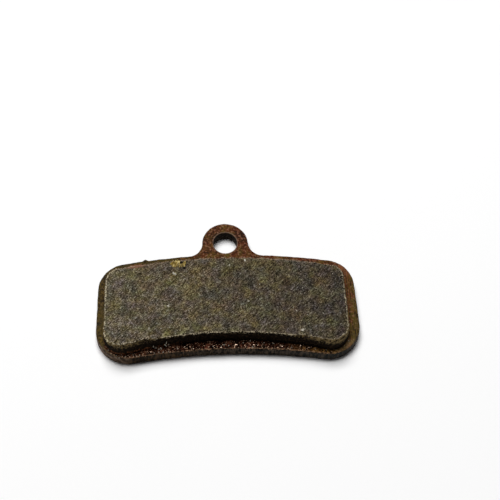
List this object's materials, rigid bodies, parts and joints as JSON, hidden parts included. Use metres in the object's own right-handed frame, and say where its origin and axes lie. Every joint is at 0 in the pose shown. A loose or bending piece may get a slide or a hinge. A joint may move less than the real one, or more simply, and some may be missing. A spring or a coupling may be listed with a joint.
{
  "type": "bicycle disc brake pad",
  "caption": "Disc brake pad for a bicycle: an arched friction lining bonded to a flat steel backing plate, with a holed lug that hangs the pad on the caliper's retaining pin.",
  "frame": {"origin": "on the axis of the pin hole, in the plate's back face", "axes": "+X along the pad's length, +Y from the plate towards the lug, +Z out of the friction face; the pad lies on its back face"},
  "size_m": [0.0368, 0.0215, 0.004],
  "materials": {
    "coated_steel": "satin",
    "friction_compound": "matte"
  },
  "bodies": {
    "root": {"backing_plate": "coated_steel", "friction_lining": "friction_compound"}
  },
  "joints": []
}
